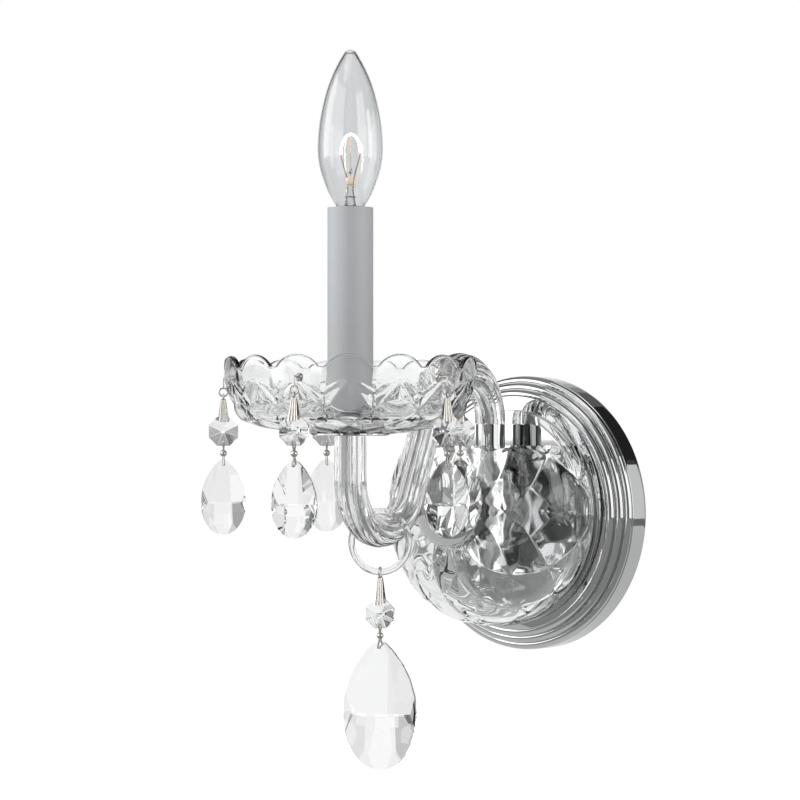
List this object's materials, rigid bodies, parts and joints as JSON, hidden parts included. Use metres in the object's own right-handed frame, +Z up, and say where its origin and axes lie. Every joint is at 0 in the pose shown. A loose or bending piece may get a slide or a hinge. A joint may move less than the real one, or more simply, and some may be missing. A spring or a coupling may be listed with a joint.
{
  "type": "wall sconce",
  "caption": "Crystal wall sconce with a round chrome plate, pressed glass bowl, ribbed glass arm, scalloped dish, candle lamp and hanging cut drops.",
  "frame": {"origin": "centre of the wall plate's open back, on the wall plane", "axes": "+Z up, +Y into the wall, the arm reaching towards -Y"},
  "size_m": [0.1516, 0.2238, 0.3462],
  "materials": {
    "chrome": "polished",
    "steel": "zinc plated",
    "earth_green": "green plated",
    "brass": "plain",
    "clear_glass": "pressed, polished",
    "crystal": "cut and polished",
    "lamp_glass": "clear, thin",
    "filament": "glowing",
    "leads": "drawn wire",
    "candle": "satin white",
    "socket": "moulded",
    "wire": "clear jacket"
  },
  "bodies": {
    "frame": {"wall_plate": "chrome", "crossbar": "steel", "ground_screw": "earth_green", "center_stem": "steel", "stem_nuts": "steel", "arm_hub": "chrome", "hub_cap": "chrome", "wall_bowl": "clear_glass", "bowl_cap": "chrome", "cap_stud": "steel", "foot_ferrule": "chrome", "foot_stem": "steel", "glass_arm": "clear_glass", "lamp_wire": "wire", "dish_pan": "chrome", "dish_stem": "steel", "glass_dish": "clear_glass", "dish_washer": "steel", "dish_nut": "steel", "socket_strap": "steel", "socket_body": "socket", "socket_shell": "brass", "socket_contact": "brass", "candle_sleeve": "candle", "hook_1": "chrome", "hook_2": "chrome", "hook_3": "chrome", "hook_4": "chrome", "hook_5": "chrome"},
    "lamp_contact": {"bulb_tip": "brass"},
    "lamp": {"bulb_base": "steel", "bulb_envelope": "lamp_glass", "bulb_stem": "lamp_glass", "bulb_leads": "leads", "bulb_filament": "filament"},
    "ring": {"glass_ring": "clear_glass"},
    "ring_string": {"ring_clip": "chrome", "ring_bead": "crystal"},
    "pendant": {"ring_link": "chrome", "ring_pendant": "crystal"},
    "string_1": {"clip_1": "chrome", "bead_1": "crystal"},
    "drop_body_1": {"link_1": "chrome", "drop_1": "crystal"},
    "string_2": {"clip_2": "chrome", "bead_2": "crystal"},
    "drop_body_2": {"link_2": "chrome", "drop_2": "crystal"},
    "string_3": {"clip_3": "chrome", "bead_3": "crystal"},
    "drop_body_3": {"link_3": "chrome", "drop_3": "crystal"},
    "string_4": {"clip_4": "chrome", "bead_4": "crystal"},
    "drop_body_4": {"link_4": "chrome", "drop_4": "crystal"},
    "string_5": {"clip_5": "chrome", "bead_5": "crystal"},
    "drop_body_5": {"link_5": "chrome", "drop_5": "crystal"}
  },
  "joints": [
    {"name": "bulb_rise", "type": "slide", "parent": "frame", "child": "lamp_contact", "axis": [0, 0, 1], "range_m": [0, 0.0127]},
    {"name": "bulb_turn", "type": "hinge", "parent": "lamp_contact", "child": "lamp", "pos_m": [0.01272, -0.15899, 0.13], "axis": [0, 0, 1], "range_deg": [0, 1800]},
    {"name": "string_swing_1", "type": "hinge", "parent": "frame", "child": "string_1", "pos_m": [0.03067, -0.2177, 0.0583], "axis": [0.9063, 0.4226, 0], "range_deg": [-30, 15]},
    {"name": "drop_swing_1", "type": "hinge", "parent": "string_1", "child": "drop_body_1", "pos_m": [0.03067, -0.2177, 0.03625], "axis": [0.4226, -0.9063, 0], "range_deg": [-25, 25]},
    {"name": "string_swing_2", "type": "hinge", "parent": "frame", "child": "string_2", "pos_m": [0.07411, -0.16006, 0.0583], "axis": [0.5736, 0.8192, 0], "range_deg": [-30, 15]},
    {"name": "drop_swing_2", "type": "hinge", "parent": "string_2", "child": "drop_body_2", "pos_m": [0.07411, -0.16006, 0.03625], "axis": [0.8192, -0.5736, 0], "range_deg": [-25, 25]},
    {"name": "string_swing_3", "type": "hinge", "parent": "frame", "child": "string_3", "pos_m": [0.03271, -0.10093, 0.0583], "axis": [0.866, 0.5, 0], "range_deg": [-12, 15]},
    {"name": "drop_swing_3", "type": "hinge", "parent": "string_3", "child": "drop_body_3", "pos_m": [0.03271, -0.10093, 0.03625], "axis": [0.5, -0.866, 0], "range_deg": [-12, 12]},
    {"name": "string_swing_4", "type": "hinge", "parent": "frame", "child": "string_4", "pos_m": [-0.03632, -0.12204, 0.0583], "axis": [0.6428, 0.766, 0], "range_deg": [-15, 20]},
    {"name": "drop_swing_4", "type": "hinge", "parent": "string_4", "child": "drop_body_4", "pos_m": [-0.03632, -0.12204, 0.03625], "axis": [0.766, -0.6428, 0], "range_deg": [-25, 25]},
    {"name": "string_swing_5", "type": "hinge", "parent": "frame", "child": "string_5", "pos_m": [-0.03758, -0.1942, 0.0583], "axis": [0.6428, 0.766, 0], "range_deg": [-20, 20]},
    {"name": "drop_swing_5", "type": "hinge", "parent": "string_5", "child": "drop_body_5", "pos_m": [-0.03758, -0.1942, 0.03625], "axis": [0.766, -0.6428, 0], "range_deg": [-25, 25]},
    {"name": "ring_swing", "type": "hinge", "parent": "frame", "child": "ring", "pos_m": [0.01014, -0.13452, -0.0069], "axis": [0.3746, -0.9272, 0], "range_deg": [-20, 20]},
    {"name": "ring_string_swing", "type": "hinge", "parent": "ring", "child": "ring_string", "pos_m": [0.01014, -0.13452, -0.02655], "axis": [0.9272, 0.3746, 0], "range_deg": [-25, 25]},
    {"name": "pendant_swing", "type": "hinge", "parent": "ring_string", "child": "pendant", "pos_m": [0.01014, -0.13452, -0.05215], "axis": [0.4384, -0.8988, 0], "range_deg": [-25, 25]}
  ],
  "couplings": [
    {"joint": "bulb_rise", "follows": "bulb_turn", "m_per_rad": 0.00040425}
  ]
}
